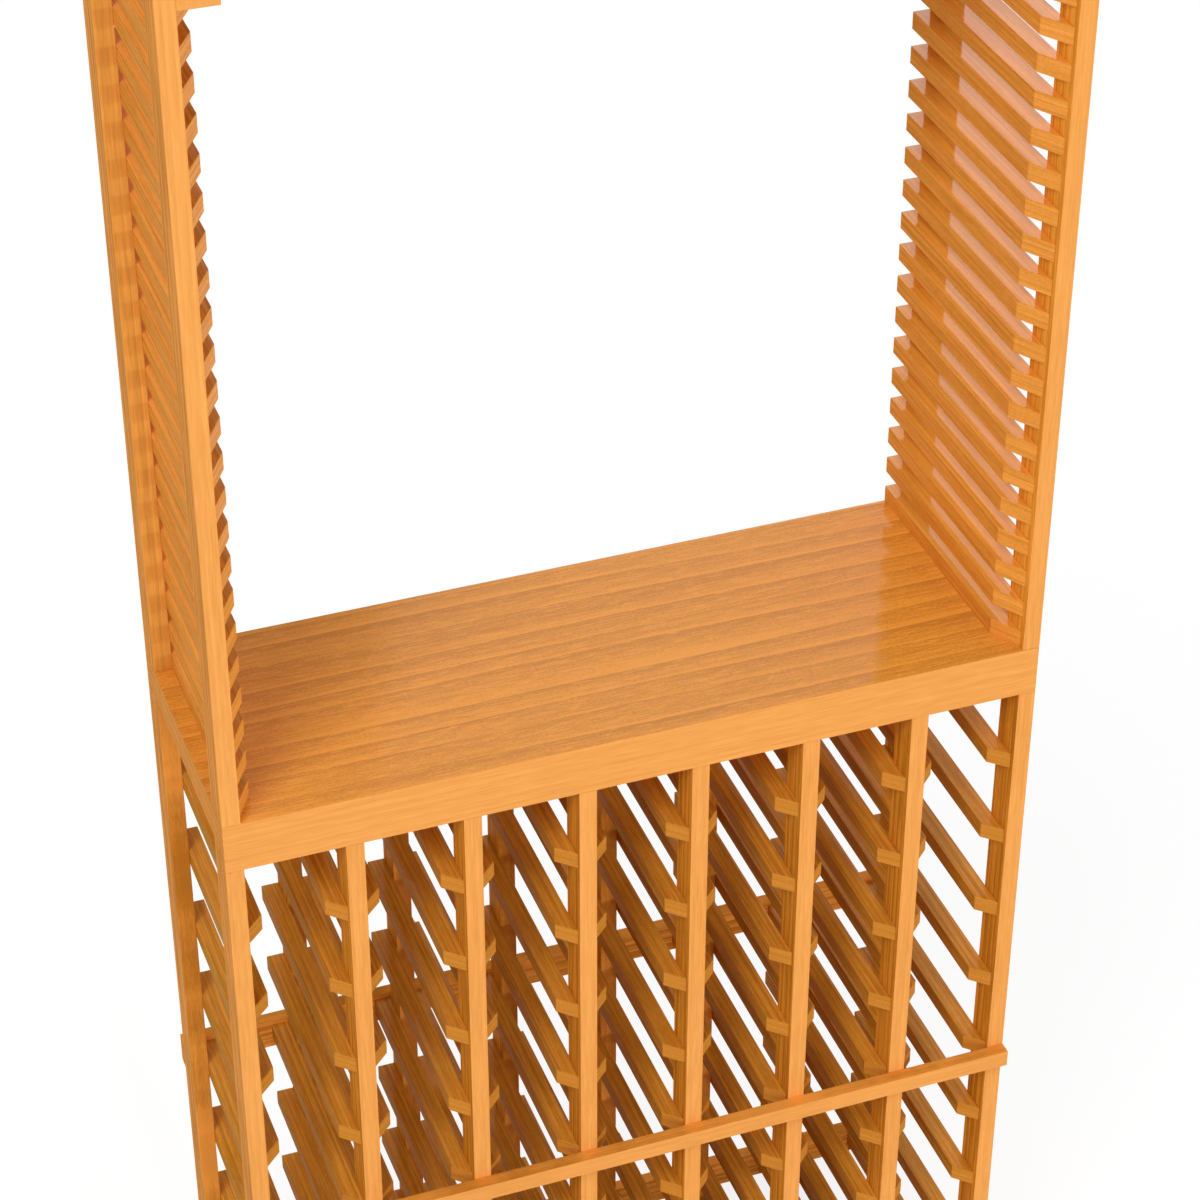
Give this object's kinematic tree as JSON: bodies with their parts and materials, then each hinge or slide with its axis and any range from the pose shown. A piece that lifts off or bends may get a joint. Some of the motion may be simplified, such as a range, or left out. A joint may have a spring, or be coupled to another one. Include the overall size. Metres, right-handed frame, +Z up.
{
  "type": "wine tasting station",
  "caption": "Free-standing wooden wine rack with a tasting table over its bottle columns and slatted side walls that carry a rack for hanging stemware.",
  "frame": {"origin": "on the floor, under the middle of the station", "axes": "+Z up, the front faces -Y, +X to the right seen from the front"},
  "size_m": [0.8, 0.3102, 1.747],
  "materials": {
    "rack_wood": "satin clear lacquer",
    "rail_wood": "satin clear lacquer",
    "table_wood": "semi-gloss clear lacquer",
    "dowel_wood": "plain",
    "screw_steel": "zinc plated"
  },
  "bodies": {
    "root": {"lower_front_post_1": "rack_wood", "lower_rear_post_1": "rack_wood", "lower_front_post_2": "rack_wood", "lower_rear_post_2": "rack_wood", "lower_front_post_3": "rack_wood", "lower_rear_post_3": "rack_wood", "lower_front_post_4": "rack_wood", "lower_rear_post_4": "rack_wood", "lower_front_post_5": "rack_wood", "lower_rear_post_5": "rack_wood", "lower_front_post_6": "rack_wood", "lower_rear_post_6": "rack_wood", "lower_front_post_7": "rack_wood", "lower_rear_post_7": "rack_wood", "lower_front_post_8": "rack_wood", "lower_rear_post_8": "rack_wood", "column_1_left_rails": "rail_wood", "column_1_right_rails": "rail_wood", "column_2_left_rails": "rail_wood", "column_2_right_rails": "rail_wood", "column_3_left_rails": "rail_wood", "column_3_right_rails": "rail_wood", "column_4_left_rails": "rail_wood", "column_4_right_rails": "rail_wood", "column_5_left_rails": "rail_wood", "column_5_right_rails": "rail_wood", "column_6_left_rails": "rail_wood", "column_6_right_rails": "rail_wood", "column_7_left_rails": "rail_wood", "column_7_right_rails": "rail_wood", "upper_left_rails": "rail_wood", "upper_right_rails": "rail_wood", "front_middle_strip": "rack_wood", "front_bottom_strip": "rack_wood", "rear_middle_strip": "rack_wood", "rear_bottom_strip": "rack_wood", "tabletop": "table_wood", "front_edging": "table_wood", "rear_edging": "table_wood", "upper_left_front_post": "rack_wood", "upper_left_rear_post": "rack_wood", "upper_right_front_post": "rack_wood", "upper_right_rear_post": "rack_wood", "stem_slat_1": "rack_wood", "stem_slat_2": "rack_wood", "stem_slat_3": "rack_wood", "stem_slat_4": "rack_wood", "stem_slat_5": "rack_wood", "stem_slat_6": "rack_wood", "stem_slat_7": "rack_wood", "stem_slat_8": "rack_wood", "slat_spacers": "rail_wood", "front_batten": "rack_wood", "rear_batten": "rack_wood", "lower_dowels": "dowel_wood", "upper_dowels": "dowel_wood"}
  },
  "joints": []
}
